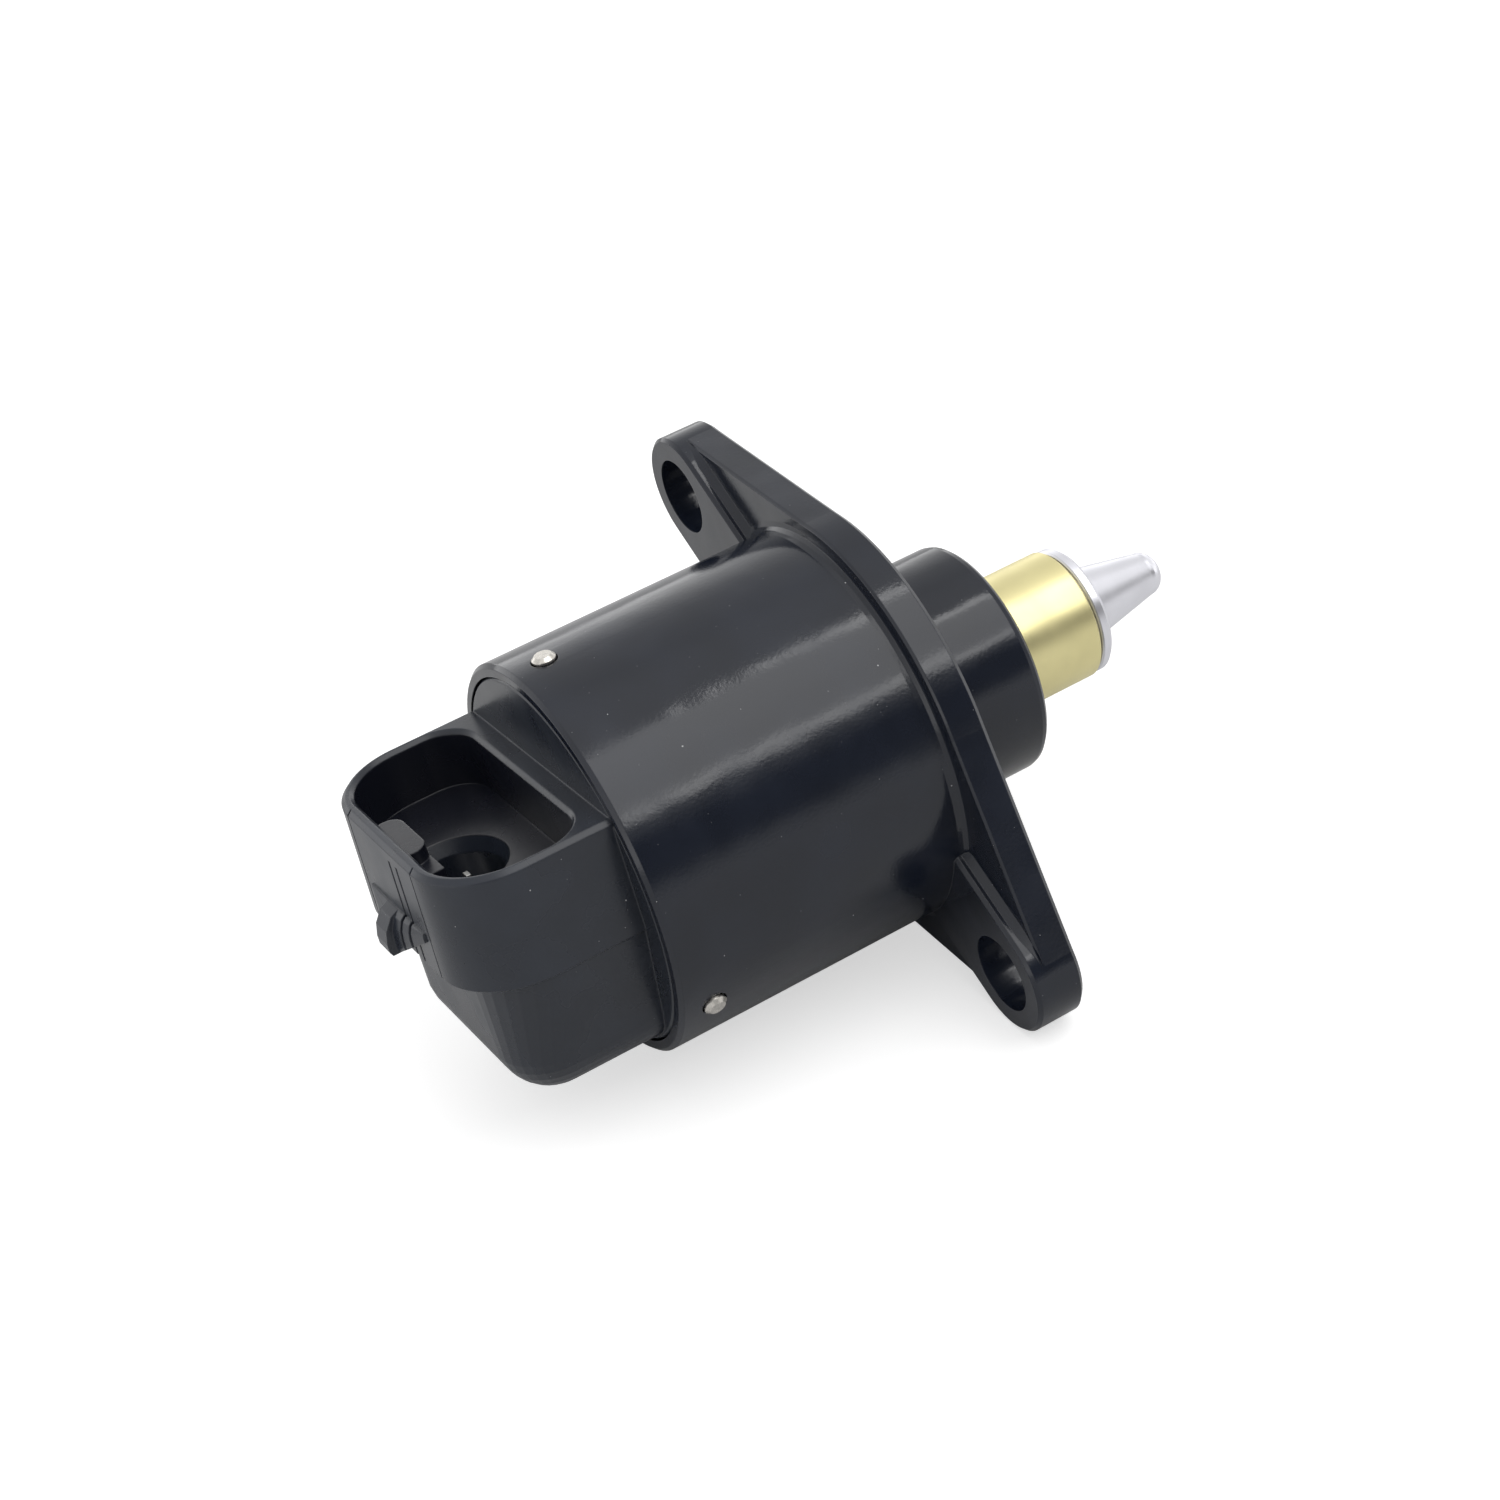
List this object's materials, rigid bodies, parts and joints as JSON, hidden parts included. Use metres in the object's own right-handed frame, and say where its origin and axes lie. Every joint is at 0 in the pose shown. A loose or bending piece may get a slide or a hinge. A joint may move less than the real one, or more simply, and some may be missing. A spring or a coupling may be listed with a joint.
{
  "type": "idle air control valve",
  "caption": "Stepper-driven idle air control valve: round moulded body with a two-bolt flange, side-facing plug socket, and a conical plunger sliding out of the nose.",
  "frame": {"origin": "centre of the flange's mounting face, on the valve axis, where the spigot leaves it", "axes": "+X along the valve axis toward the pintle's tip, +Z square to one straight edge of the flange, which is level below"},
  "size_m": [0.0743, 0.0526, 0.0376],
  "materials": {
    "ball_steel": "polished",
    "bush_bronze": "sintered bronze",
    "cap_plastic": "satin charcoal moulding",
    "coil_nylon": "natural nylon",
    "copper_wire": "enamelled copper wire",
    "gold_sleeve": "pale gold passivated, satin",
    "housing_plastic": "polished black moulding",
    "pin_nickel": "nickel plated",
    "pintle_aluminium": "turned and polished",
    "ring_magnet": "ground ferrite",
    "screw_steel": "rolled and ground",
    "seal_rubber": "soft black",
    "spring_steel": "spring temper",
    "stator_steel": "pressed and plated",
    "terminal_tin": "tin plated"
  },
  "bodies": {
    "valve_body": {"housing": "housing_plastic", "connector_cap": "cap_plastic", "cap_seal": "seal_rubber", "retaining_pin_1": "pin_nickel", "retaining_pin_2": "pin_nickel", "retaining_pin_3": "pin_nickel", "terminal_1": "terminal_tin", "terminal_2": "terminal_tin", "terminal_3": "terminal_tin", "terminal_4": "terminal_tin", "rear_bush": "bush_bronze", "disc_spring": "spring_steel", "stator_cup_rear": "stator_steel", "pole_plate_rear": "stator_steel", "bobbin_rear": "coil_nylon", "winding_rear": "copper_wire", "stator_cup_front": "stator_steel", "pole_plate_front": "stator_steel", "bobbin_front": "coil_nylon", "winding_front": "copper_wire", "bearing_outer_race": "ball_steel", "guide_bush": "coil_nylon"},
    "rotor": {"rotor_magnet": "ring_magnet", "rotor_nut": "coil_nylon", "bearing_inner_race": "ball_steel"},
    "ball_cage": {"bearing_balls": "ball_steel", "bearing_cage": "bush_bronze"},
    "plunger": {"lead_screw": "screw_steel", "pintle_sleeve": "gold_sleeve", "pintle_head": "pintle_aluminium"}
  },
  "joints": [
    {"name": "rotor_spin", "type": "hinge", "parent": "valve_body", "child": "rotor", "pos_m": [-0.016, 0, 0], "axis": [1, 0, 0], "range_deg": [-2340, 540]},
    {"name": "cage_spin", "type": "hinge", "parent": "valve_body", "child": "ball_cage", "pos_m": [-0.0073, 0, 0], "axis": [1, 0, 0], "range_deg": [-936, 216]},
    {"name": "plunger_slide", "type": "slide", "parent": "valve_body", "child": "plunger", "axis": [1, 0, 0], "range_m": [-0.0065, 0.0015]}
  ],
  "couplings": [
    {"joint": "rotor_spin", "follows": "plunger_slide", "rad_per_m": 6283.2},
    {"joint": "cage_spin", "follows": "plunger_slide", "rad_per_m": 2506.4}
  ]
}
